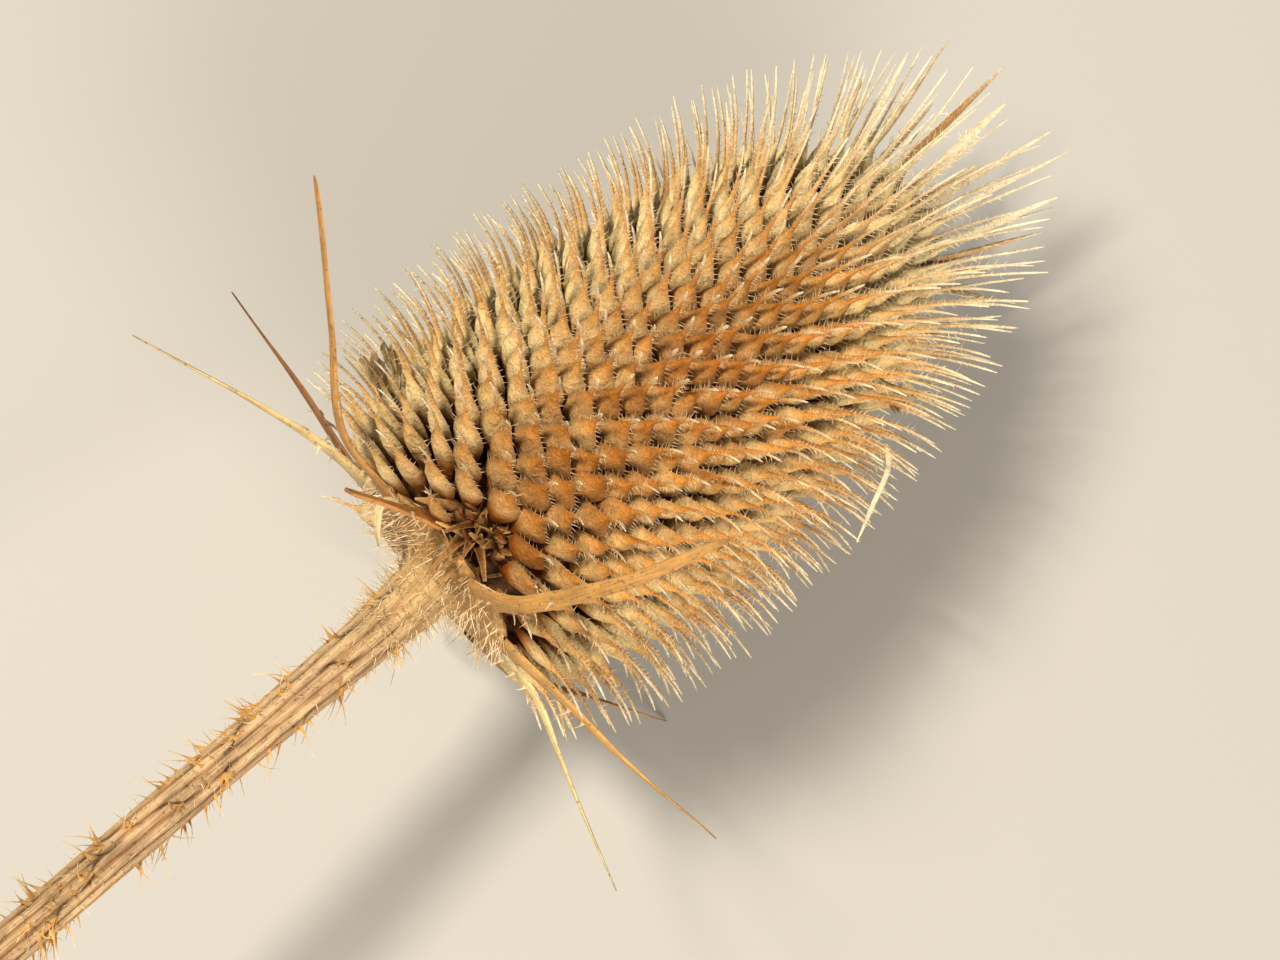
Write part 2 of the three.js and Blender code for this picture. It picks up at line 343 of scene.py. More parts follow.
def sideways(side):
    """The direction round the head on each side, a quarter turn on from outward."""
    side = np.asarray(side, float)
    return np.stack([np.zeros_like(side), -np.sin(side), np.cos(side)], -1)


def along(table, x, column):
    """One column of a table at any position: on the straight line between the two rows whose
    first values are next to it."""
    table = np.asarray(table, float)
    return np.interp(x, table[:, 0], table[:, column])


def keeled(path, across, outer, half, bulge, hollow):
    """Sections set along paths: each section's points are the path's point, plus half the width
    across, plus the bulge on the outer face or the depth of the inner one.
    path is (copies, stations, 3), across and outer are directions, the rest are sizes."""
    wide = SECTION[:, 0] * half[..., None]
    deep = SECTION[:, 1] * np.where(SECTION[:, 1] < -0.5, hollow[..., None], bulge[..., None])
    shell = path[..., None, :] + wide[..., None] * across[..., None, :]
    return shell + deep[..., None] * outer[..., None, :]


def capped(copies, stations, around):
    """Faces of many closed tubes, numbered one after another: their quads and both end caps."""
    shell = grid_faces(stations, around)
    foot = np.arange(around)[::-1][None]
    tip = (stations - 1) * around + np.arange(around)[None]
    shift = (np.arange(copies) * stations * around)[:, None, None]
    ends = np.concatenate([foot, tip])
    return (shell[None] + shift).reshape(-1, 4), (ends[None] + shift).reshape(-1, around)


def needles(roots, ways, lengths, thickness, first):
    """Bristles with three sides and a flat foot: three points in a circle round each root and
    one at its length along its way. Their points and faces, numbered from first."""
    aside = unit(np.cross(ways, [0.31, 0.83, 0.46]))
    other = np.cross(ways, aside)
    turn = np.array([0, 2 * np.pi / 3, 4 * np.pi / 3])
    ring = np.cos(turn)[:, None] * aside[:, None] + np.sin(turn)[:, None] * other[:, None]
    foot = roots[:, None] + ring * np.asarray(thickness).reshape(-1, 1, 1)
    tip = roots + ways * np.asarray(lengths).reshape(-1, 1)
    points = np.concatenate([foot, tip[:, None]], 1)
    faces = np.array([[0, 1, 3], [1, 2, 3], [2, 0, 3], [2, 1, 0]])
    return points, (faces[None] + 4 * np.arange(len(roots))[:, None, None] + first).reshape(-1, 3)


def unit(vectors):
    """Each vector divided by its own length."""
    return vectors / np.linalg.norm(vectors, axis=-1, keepdims=True)


# where each scale stands: equal room for each on the head, one golden angle round from the last
fine = np.linspace(FIRST_SCALE, LAST_SCALE, 600)
room = np.concatenate([[0], np.cumsum(along(STATIONS, fine, 1)[1:] + ABOVE_CORE)])
number = np.arange(SCALES)
scale_x = np.interp((number + 0.5) / SCALES * room[-1], room, fine)
scale_x = scale_x + dice.uniform(-0.1, 0.1, SCALES)
scale_side = number * GOLDEN + dice.normal(0, 0.012, SCALES)
from_front = (scale_side + np.pi) % (2 * np.pi) - np.pi
awn_length = along(STATIONS, scale_x, 4) * dice.uniform(0.9, 1.04, SCALES)

# at the foot, on the side seen from the camera, a few scales have broken away: the middle and the
# reach of the hole that they left, along the head and round it
HOLE_X, HOLE_SIDE = 0.2, 0.05
HOLE_LENGTH, HOLE_WIDTH = 1.9, 0.34
hole = np.hypot((scale_x - HOLE_X) / HOLE_LENGTH, (from_front - HOLE_SIDE) / HOLE_WIDTH)
kept = hole > 0.8
stub = (hole > 0.8) & (hole < 1.5) & (dice.random(SCALES) < 0.7)
awn_length[stub] *= dice.uniform(0.05, 0.4, stub.sum())
# the awns that stood towards the viewer are the most worn
worn = np.exp(-((from_front / 0.75) ** 2)) * np.interp(scale_x, [0, 20, 34], [1, 1, 0])
awn_length *= 1 - worn * dice.uniform(0.1, 0.55, SCALES)
scale_x, scale_side, from_front, awn_length = (
    values[kept] for values in (scale_x, scale_side, from_front, awn_length)
)
facing = np.exp(-((from_front / 0.7) ** 2))
count = len(scale_x)

# how far along itself each scale's sections stand, which way it heads there, and its middle line
beyond_body = np.maximum(awn_length - AWN_IN_BODY, 0.2)[:, None]
on_body = np.broadcast_to(BODY[:, 0], (count, len(BODY)))
reach = np.concatenate([on_body, BODY[-1, 0] + AWN[:, 0] * beyond_body], 1)
body_angle = np.radians(along(STATIONS, scale_x, 2) + dice.normal(0, 2.2, count))
awn_angle = np.radians(along(STATIONS, scale_x, 3) + dice.normal(0, 4.0, count) + 5.0 * facing)
angle = body_angle[:, None] + (awn_angle - body_angle)[:, None] * BEND
away = outward(scale_side)[:, None]
round_head = sideways(scale_side)[:, None]
heading = np.cos(angle)[..., None] * AXIS + np.sin(angle)[..., None] * away
sway = dice.normal(0.13, 0.07, count)[:, None] * np.maximum(0, BEND - 0.1)
heading = unit(heading + sway[..., None] * round_head)
halfway = unit(heading[:, 1:] + heading[:, :-1])
root = scale_x[:, None] * AXIS + along(STATIONS, scale_x, 1)[:, None] * outward(scale_side)
foot = root + BODY[0, 0] * heading[:, 0]
gone_on = np.cumsum(halfway * np.diff(reach)[..., None], 1)
path = foot[:, None] + np.concatenate([np.zeros((count, 1, 3)), gone_on], 1)
# the awns underneath are pressed flat by the ground
ground_up = HEAD_TO_ROW[2]
sunk = np.maximum(0, GROUND_CLEARANCE - (path @ ground_up + HEAD_FOOT[2]))
path = path + sunk[..., None] * ground_up
twist = dice.normal(0, 0.12, count)[:, None, None]
across = unit(round_head * np.cos(twist) + np.cross(heading, round_head) * np.sin(twist))
across = np.broadcast_to(across, path.shape)
outer = np.cross(across, heading)
outer = outer * np.sign((outer * (away * 0.3 - AXIS)).sum(-1, keepdims=True))
sizes = np.concatenate([BODY, AWN])
bigger = dice.uniform(0.9, 1.08, count)[:, None]
wider = np.interp(scale_x, [0, 3, 12, 22, 34, 46, 47], [1.15, 1.42, 1.3, 1.08, 1.0, 0.72, 0.6])
half = sizes[:, 1] * bigger * wider[:, None]
bulge = sizes[:, 2] * bigger
hollow = sizes[:, 3] * bigger
scale_points = keeled(path, across, outer, half, bulge, hollow)


def paint(hex_colour):
    """The same colour as an array of red, green and blue, for the tint of a piece."""
    return np.array(linear(hex_colour)[:3])


# colours: each scale runs from painted shade at its root, deep among the others, through its
# belly to a cream shoulder, and then along a fibrous awn to an ivory tip
ROOT_SHADE, BELLY, CREAM, FIBRE, GOLD, IVORY = (
    paint(c) for c in ("#2a0f03", "#a4600f", "#feecb4", "#be8230", "#efca84", "#fdf2d2")
)


def blend(first, second, share):
    """The first colour, moved by a share of the way to the second."""
    return first + (second - first) * share


# painted light and shade: scales on the side towards the key light are made paler, and those that face the
# viewer darker. The rest of this share is each scale's own random tone, bleaching towards the tip and a
# darker foot. It also pales the awns and their bristles.
lit_side = 0.5 - 0.5 * np.cos(from_front - math.radians(110))
pale = 0.94 - 0.74 * facing + 0.12 * lit_side + dice.normal(0, 0.09, count)
pale = np.clip(pale + np.interp(scale_x, [24, 42], [0, 0.45]), 0.05, 1.0)
pale *= np.interp(scale_x, [0, 6], [0.7, 1.0])
belly = BELLY * (0.82 + 0.36 * dice.random(count))[:, None]
cream = blend(belly, CREAM, pale[:, None])
bleached = np.interp(scale_x, [30, 44], [0.0, 0.6]) + 0.3 * (1 - facing)
bleached = np.clip(bleached, 0, 0.85)[:, None]
fibre = blend(FIBRE * (0.8 + 0.5 * pale)[:, None], GOLD, bleached)
silvered = np.interp(scale_x, [32, 44], [0.0, 0.55])[:, None]
fibre = blend(fibre, IVORY * 0.85, silvered)
ivory = IVORY * dice.uniform(0.8, 1.05, count)[:, None]
# painted shade: the lowest rows of each scale run from near black up into its belly
lower = [blend(ROOT_SHADE, belly, share) for share in (0, 0.35, 0.85)]
shoulder = [blend(belly, cream, share) for share in (0.5, 0.95)]
neck = [blend(fibre, cream, share) for share in (0.9, 0.6, 0.3)]
awn = [blend(fibre, ivory, share) for share in (0.1, 0.25, 0.65, 0.95)]
tint = np.stack([*lower, *shoulder, *neck, *awn, ivory], 1)[:, :, None, :]
# painted shade: the edges and the inner face are darker, most of all on the body
EDGE_SHADE = np.array([0.6, 0.12, 0, 0.12, 0.6, 0.95, 0.95])[:, None]
EDGE_ALONG = np.array([1, 1, 1, 1, 1, 0.9, 0.8, 0.65, 0.5, 0.4, 0.15, 0, 0])[:, None, None]
scale_tint = blend(tint, (belly * 0.26)[:, None, None, :], EDGE_SHADE * EDGE_ALONG)
# painted shade: the scales that face the viewer are a deeper golden brown, less on the shoulder
FRONT_SHADE_TINT = np.array([0.97, 0.68, 0.30])
FRONT_SHADE_ALONG = np.array([1, 1, 1, 0.8, 0.5, 0.5, 0.8, 1, 1, 0.8, 0.5, 0.2, 0])
front_shade = np.exp(-(((from_front - 0.35) / 0.95) ** 2))
front_shade = front_shade * np.interp(scale_x, [0, 8, 32, 42], [0.6, 1, 1, 0.1])
deeper = blend(1.0, FRONT_SHADE_TINT, (front_shade[:, None] * FRONT_SHADE_ALONG)[..., None])
scale_tint = scale_tint * deeper[:, :, None, :]

# the comb of bristles on both edges, from the upper body to half way up the awn
spot = np.interp(np.linspace(0, 1, CILIA), [0, 0.4, 1], [4.2, 7.2, 9.9])
low = np.floor(spot).astype(int)
part = spot - low
hair_roots, hair_ways, hair_lengths = [], [], []
for margin, sign in ((LEFT_EDGE, -1.0), (RIGHT_EDGE, 1.0)):
    rim = scale_points[:, :, margin]
    roots = rim[:, low] * (1 - part)[:, None] + rim[:, low + 1] * part[:, None]
    lean = np.radians(dice.uniform(38, 68, roots.shape[:2]))[..., None]
    lift = dice.normal(0, 1, roots.shape[:2]) * np.interp(spot, [4, 7, 9], [0.2, 0.4, 0.9])
    aside = np.sin(lean) * sign * across[:, low]
    ways = unit(np.cos(lean) * heading[:, low] + aside + lift[..., None] * outer[:, low])
    hair_roots.append(roots - ways * CILIUM_ROOT)
    hair_ways.append(ways)
    hair_lengths.append(dice.uniform(0.45, 0.95, roots.shape[:2]))
hair_roots = np.concatenate(hair_roots, 1)
hair_ways = np.concatenate(hair_ways, 1)
hair_lengths = np.concatenate(hair_lengths, 1) * (dice.random((count, 2 * CILIA)) > CILIA_LOST)


def spread(low, high, lowest, highest):
    """Settings that take what lies between low and high to between lowest and highest."""
    return {"From Min": low, "From Max": high, "To Min": lowest, "To Max": highest}


def mottle(material, skin, *shares):
    """Colours a skin with the piece's own tint, times the product of the shares."""
    product = shares[0]
    for share in shares[1:]:
        product = node(material, "Math", {"operation": "MULTIPLY"}, _0=product, _1=share)
    tinted = node(material, "Attribute", {"attribute_name": "tint"})
    shaded = node(material, "VectorMath", {"operation": "SCALE"}, Vector=tinted, Scale=product)
    wire(material, shaded, skin.inputs["Base Color"])


# dry leathery skin, a little glossy, with a fine grain 0.19 mm across, patches of over a millimetre
# and, where it shrank as it dried, dents 0.7 mm across: how many of each there are to a millimetre,
# and how deep the grain and the dents are
GRAINS = 5.2
PATCHES = 0.85
DENTS = 1.5
GRAIN_DEPTH = 0.09 * METRES
DENT_DEPTH = 0.4 * METRES
dry_scale, skin = finish_of("dry_scale", Roughness=0.52, Specular_IOR_Level=0.24)
place = node(dry_scale, "TexCoord").outputs["Object"]
grainy = {"Scale": GRAINS / METRES, "Detail": 4, "Roughness": 0.62}
patchy = {"Scale": PATCHES / METRES, "Detail": 3}
dented = {"Scale": DENTS / METRES, "Detail": 3, "Distortion": 0.6}
grain = node(dry_scale, "TexNoise", grainy, Vector=place)
patches = node(dry_scale, "TexNoise", patchy, Vector=place)
dents = node(dry_scale, "TexNoise", dented, Vector=place)
light_and_dark = node(dry_scale, "MapRange", spread(0.32, 0.68, 0.72, 1.22), Value=grain)
warm_and_dull = node(dry_scale, "MapRange", spread(0.35, 0.7, 0.82, 1.12), Value=patches)
mottle(dry_scale, skin, light_and_dark, warm_and_dull)
rough = node(dry_scale, "MapRange", spread(0.3, 0.7, 0.42, 0.68), Value=grain)
crumpled = node(dry_scale, "Bump", {"Strength": 0.75, "Distance": DENT_DEPTH}, Height=dents)
raised_grain = {"Strength": 0.7, "Distance": GRAIN_DEPTH}
relief = node(dry_scale, "Bump", raised_grain, Height=grain, Normal=crumpled)
wire(dry_scale, rough, skin.inputs["Roughness"])
wire(dry_scale, relief, skin.inputs["Normal"])

BANDS = 6
band = np.minimum((np.arange(count) * BANDS) // count, BANDS - 1)
for b in range(BANDS):
    chosen = band == b
    n = chosen.sum()
    shells, ends = capped(n, len(sizes), len(SECTION))
    body_points = scale_points[chosen].reshape(-1, 3)
    keep_hair = hair_lengths[chosen] > 0
    hair_points, hair_faces = needles(
        hair_roots[chosen][keep_hair], hair_ways[chosen][keep_hair], hair_lengths[chosen][keep_hair],
        CILIUM_THICKNESS, len(body_points),
    )
    hair_colour = blend(fibre, ivory, 0.2 + 0.75 * pale[:, None])[chosen]
    hair_colour = np.broadcast_to(hair_colour[:, None], (n, 2 * CILIA, 3))[keep_hair]
    hair_tint = np.repeat(hair_colour[:, None], NEEDLE_POINTS, 1)
    made = piece(
        f"scales_{b + 1}",
        np.concatenate([body_points, hair_points.reshape(-1, 3)]),
        [shells, ends, hair_faces],
        dry_scale,
        np.concatenate([scale_tint[chosen].reshape(-1, 3), hair_tint.reshape(-1, 3)]),
        crease=50,
    )
    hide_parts("seed_head")


# ----------------------------------------------------------
# Tuft: the long straight scales that stand up from the crown of the head, drawn out into
# slender stiff awns. The same dry tissue as the side scales, some bleached and some golden.
# where each one's tip is, and how bleached it is
TUFT = [
    [[65.2, -1, -8.7], 0.55], [[68.2, -3, -3.8], 0.15], [[63.0, 4, -0.5], 0.8],
    [[66.2, 1, 3.5], 0.75], [[67.2, -1, 5.8], 0.9], [[61.3, 4, 8.2], 0.85],
    [[59.6, 0.5, 9.8], 0.3], [[55.6, -5, 13.2], 0.6], [[58.0, 5, -9.4], 0.7],
    [[62.4, -7, -5.2], 0.4], [[62.0, -7.4, 1.6], 0.5], [[60.4, -6.2, 7.2], 0.5],
]
TUFT_STATIONS = 16
TUFT_HAIRS = 36
TUFT_HAIR_THICKNESS = 0.055
CROWN = 46.6
t = np.linspace(0, 1, TUFT_STATIONS)
tuft_half = np.interp(
    t, [0, 0.08, 0.2, 0.32, 0.45, 0.75, 0.92, 1.0], [0.42, 0.64, 0.86, 0.7, 0.5, 0.4, 0.25, 0.08]
)
tuft_bulge = np.interp(t, [0, 0.2, 0.35, 0.5, 0.8, 1.0], [0.35, 0.62, 0.46, 0.34, 0.2, 0.05])
tuft_hollow = np.interp(t, [0, 0.2, 0.35, 0.5, 0.8, 1.0], [0.1, -0.2, 0.08, 0.2, 0.16, 0.05])
for i, (tip, bleaching) in enumerate(TUFT):
    tip = np.array(tip)
    away = np.hypot(tip[1], tip[2])
    side = math.atan2(tip[2], tip[1])
    root_radius = np.clip(away * 0.42, 0.8, 3.6)
    root = np.array([CROWN - 0.08 * root_radius**2, 0, 0]) + root_radius * outward(side)
    midline = root + (tip - root) * t[:, None]
    bow = dice.uniform(-0.5, 0.9) * np.sin(np.pi * t) ** 2 * (tip[0] - root[0]) / 16
    weave = dice.uniform(-0.5, 0.5) * np.sin(np.pi * t * 1.6) * t
    midline = midline + bow[:, None] * outward(side) * 0.6 + weave[:, None] * sideways(side)
    leading = unit(np.gradient(midline, axis=0))
    turned = dice.normal(0, 0.25)
    upright = np.cross(leading, sideways(side))
    breadth = unit(sideways(side) * math.cos(turned) + upright * math.sin(turned))
    topside = unit(np.cross(breadth, leading))
    topside = topside * np.sign((topside * (outward(side) - 0.3 * AXIS)).sum(-1, keepdims=True))
    body_points = keeled(midline, breadth, topside, tuft_half, tuft_bulge, tuft_hollow)
    where = dice.uniform(2.6, 11.5, TUFT_HAIRS)
    below = where.astype(int)
    share = (where - below)[:, None]
    hand = np.where(np.arange(TUFT_HAIRS) % 2, 1.0, -1.0)[:, None]
    margin = np.where(hand[:, 0] < 0, LEFT_EDGE, RIGHT_EDGE)
    roots = body_points[below, margin] * (1 - share) + body_points[below + 1, margin] * share
    lean = np.radians(dice.uniform(30, 60, TUFT_HAIRS))[:, None]
    lift = dice.normal(0, 0.3, (TUFT_HAIRS, 1)) * topside[below]
    ways = unit(np.cos(lean) * leading[below] + np.sin(lean) * hand * breadth[below] + lift)
    shells, ends = capped(1, TUFT_STATIONS, len(SECTION))
    hair_points, hair_faces = needles(
        roots - CILIUM_ROOT * ways, ways, dice.uniform(0.5, 1.1, TUFT_HAIRS),
        TUFT_HAIR_THICKNESS, TUFT_STATIONS * len(SECTION),
    )
    bleached = blend(FIBRE, IVORY, bleaching)
    colours = blend(bleached * 0.55, bleached, np.clip(t * 3, 0, 1)[:, None])
    colours = blend(colours, IVORY * 0.95, np.clip((t - 0.75) * 3, 0, 0.8)[:, None])
    colours = np.broadcast_to(colours[:, None], (TUFT_STATIONS, len(SECTION), 3))
    hair_tint = np.broadcast_to(IVORY, (TUFT_HAIRS * NEEDLE_POINTS, 3))
    made = piece(
        f"tuft_scale_{i + 1}",
        np.concatenate([body_points.reshape(-1, 3), hair_points.reshape(-1, 3)]),
        [shells, ends, hair_faces],
        dry_scale,
        np.concatenate([colours.reshape(-1, 3), hair_tint]),
        crease=50,
    )
    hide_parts(f"coma_bract_{i + 1:02d}")


# ----------------------------------------------------------
# Bracts: the long narrow leaves that spread from under the head and curve up round it. Dried
# hard, finely striped lengthwise, with a keel, and a few hooked prickles near their feet.
RIM = 8.4
# side of the head, width, sideways sway, colour, and (position, distance from the axis) along it
BRACTS = {
    "involucral_bract_01": (270, 2.0, 0.3, "#d9bd85",
        [[-1.2, RIM], [-1.8, 12.2], [-4.4, 20], [-9, 30.9]]),
    # bract 2 lies behind the others, in their shadow: its darker brown is painted shade
    "involucral_bract_02": (250, 1.7, 0.3, "#8a5a2a",
        [[-1.0, RIM], [-0.4, 13], [1.0, 22], [2.2, 32]]),
    "involucral_bract_03": (300, 1.8, -0.4, "#b58444",
        [[-1.3, RIM], [-1.9, 15], [1.9, 23.2], [7.1, 34.9]]),
    "involucral_bract_04": (337, 2.1, 0.3, "#c98b46",
        [[-0.2, 7.6], [-1.8, 11.4], [-4.3, 16.4], [-7.4, 22.6]]),
    "involucral_bract_05": (27, 2.1, 0.0, "#b98a4a",
        [[-1.5, RIM], [-0.6, 14], [3.3, 20.4], [12.8, 27.8]]),
    "involucral_bract_06": (94, 1.7, -0.2, "#e0c993",
        [[-1.2, RIM], [-1.3, 13], [-2.9, 18.6], [-6.1, 30.3]]),
    "involucral_bract_07": (77, 1.8, 0.4, "#c79a58",
        [[-1.2, RIM], [-0.6, 14.4], [-0.1, 22], [1.2, 32.2]]),
    "involucral_bract_08": (132, 1.7, 0.2, "#a8793e",
        [[-1.2, RIM], [0.2, 14.6], [5.0, 22.0], [10.8, 31.0]]),
    "involucral_bract_09": (211, 1.7, -0.2, "#a8793e",
        [[-1.2, RIM], [0.1, 14.6], [4.6, 22.0], [9.9, 30.8]]),
    "involucral_bract_10": (174, 1.6, 0.2, "#a07038",
        [[-1.3, RIM], [-1.2, 14], [-1.0, 19.2], [0.6, 23.2]]),
    "broken_bract": (308, 1.3, 0.1, "#dcc596",
        [[-1.3, 8.2], [-2.9, 8.9], [-4.0, 7.3], [-4.7, 5.8]]),
}
BRACT_STATIONS = 90
BRACT_AROUND = 18
BRACT_THORNS = 9
THORN_THICKNESS = 0.11
INNER_FACE_ON_MAP = 5.0
BLUNT_BRACT = "involucral_bract_04"
PRICKLE_STATIONS = 5
PRICKLE_SIDES = 5


def smooth_path(points, stations):
    """A curve through points, by cubic pieces whose slope at each point is that of its two
    neighbours, with its stations evenly spaced along it."""
    points = np.asarray(points, float)
    chord = np.concatenate([[0], np.cumsum(np.linalg.norm(np.diff(points, axis=0), axis=1))])
    slope = np.gradient(points, chord, axis=0)
    at = np.linspace(0, chord[-1], 400)
    i = np.clip(np.searchsorted(chord, at, side="right") - 1, 0, len(points) - 2)
    h = (chord[i + 1] - chord[i])[:, None]
    u = (at[:, None] - chord[i][:, None]) / h
    curve = (
        (2 * u**3 - 3 * u**2 + 1) * points[i]
        + (u**3 - 2 * u**2 + u) * h * slope[i]
        + (3 * u**2 - 2 * u**3) * points[i + 1]
        + (u**3 - u**2) * h * slope[i + 1]
    )
    gone = np.concatenate([[0], np.cumsum(np.linalg.norm(np.diff(curve, axis=0), axis=1))])
    even = np.linspace(0, gone[-1], stations)
    return np.stack([np.interp(even, gone, c) for c in curve.T], -1)


def hooked(roots, ways, leans, lengths, thickness, grain_way, first):
    """Prickles: cones of five sides with a foot drawn out along the grain, whose middle line
    starts along ways and bends by leans towards the tip. Points and faces, from number first."""
    rise = np.array([-0.08, 0.1, 0.35, 0.68, 1.0])
    fat = np.array([1.8, 1.0, 0.52, 0.4, 0.2])
    stretch = np.array([2.3, 1.6, 1.15, 1.0, 1.0])
    lengths = np.asarray(lengths).reshape(-1, 1, 1)
    thickness = np.asarray(thickness).reshape(-1, 1, 1, 1)
    straight = roots[:, None] + ways[:, None] * lengths * rise[:, None]
    centre = straight + leans[:, None] * lengths * (np.maximum(rise, 0) ** 2)[:, None]
    wide = unit(np.cross(ways, grain_way))
    turn = np.linspace(0, 2 * np.pi, PRICKLE_SIDES, endpoint=False)
    along_grain = (stretch[:, None] * np.sin(turn))[..., None] * grain_way[:, None, None]
    ring = np.cos(turn)[:, None] * wide[:, None, None] + along_grain
    points = centre[:, :, None] + ring * fat[:, None, None] * thickness
    turned_in = (np.cross(wide, grain_way) * ways).sum(-1).mean() < 0
    shells, ends = capped(len(roots), PRICKLE_STATIONS, PRICKLE_SIDES)
    if turned_in:
        shells, ends = shells[:, ::-1], ends[:, ::-1]
    return points, shells + first, ends + first


def drawn_out(material, fibres, along_grain, **settings):
    """A grey pattern of fibres, so many to the millimetre across and along the piece's own map."""
    own_map = node(material, "UVMap", {"uv_map": "grain"})
    drawn = node(material, "Mapping", {"Scale": (fibres, along_grain, 1.0)}, Vector=own_map)
    return node(material, "TexNoise", {"Scale": 1.0, **settings}, Vector=drawn)


# hard dry leaf, finely striped and dull: fibres about 0.15 mm wide that run on for 2 mm, blotches
# of 2.4 mm and specks of 0.4 mm. These are how many of each there are to a millimetre.
BRACT_FIBRES = (6.5, 0.45)
BRACT_BLOTCHES = 0.42
BRACT_SPECKS = 2.6
dry_bract, skin = finish_of("dry_bract", Roughness=0.6)
place = node(dry_bract, "TexCoord").outputs["Object"]
blotched = {"Scale": BRACT_BLOTCHES / METRES, "Detail": 4, "Roughness": 0.65}
fibres = drawn_out(dry_bract, *BRACT_FIBRES, Detail=4, Roughness=0.6)
blotch = node(dry_bract, "TexNoise", blotched, Vector=place)
specks = node(dry_bract, "TexNoise", {"Scale": BRACT_SPECKS / METRES, "Detail": 2}, Vector=place)
streaks = node(dry_bract, "MapRange", spread(0.3, 0.7, 0.72, 1.25), Value=fibres)
patches = node(dry_bract, "MapRange", spread(0.35, 0.68, 0.76, 1.15), Value=blotch)
freckles = node(dry_bract, "MapRange", spread(0.28, 0.42, 0.45, 1.0), Value=specks)
mottle(dry_bract, skin, streaks, patches, freckles)
rough = node(dry_bract, "MapRange", spread(0.3, 0.7, 0.48, 0.74), Value=fibres)
relief = node(dry_bract, "Bump", {"Strength": 0.7, "Distance": GRAIN_DEPTH}, Height=fibres)
wire(dry_bract, rough, skin.inputs["Roughness"])
wire(dry_bract, relief, skin.inputs["Normal"])

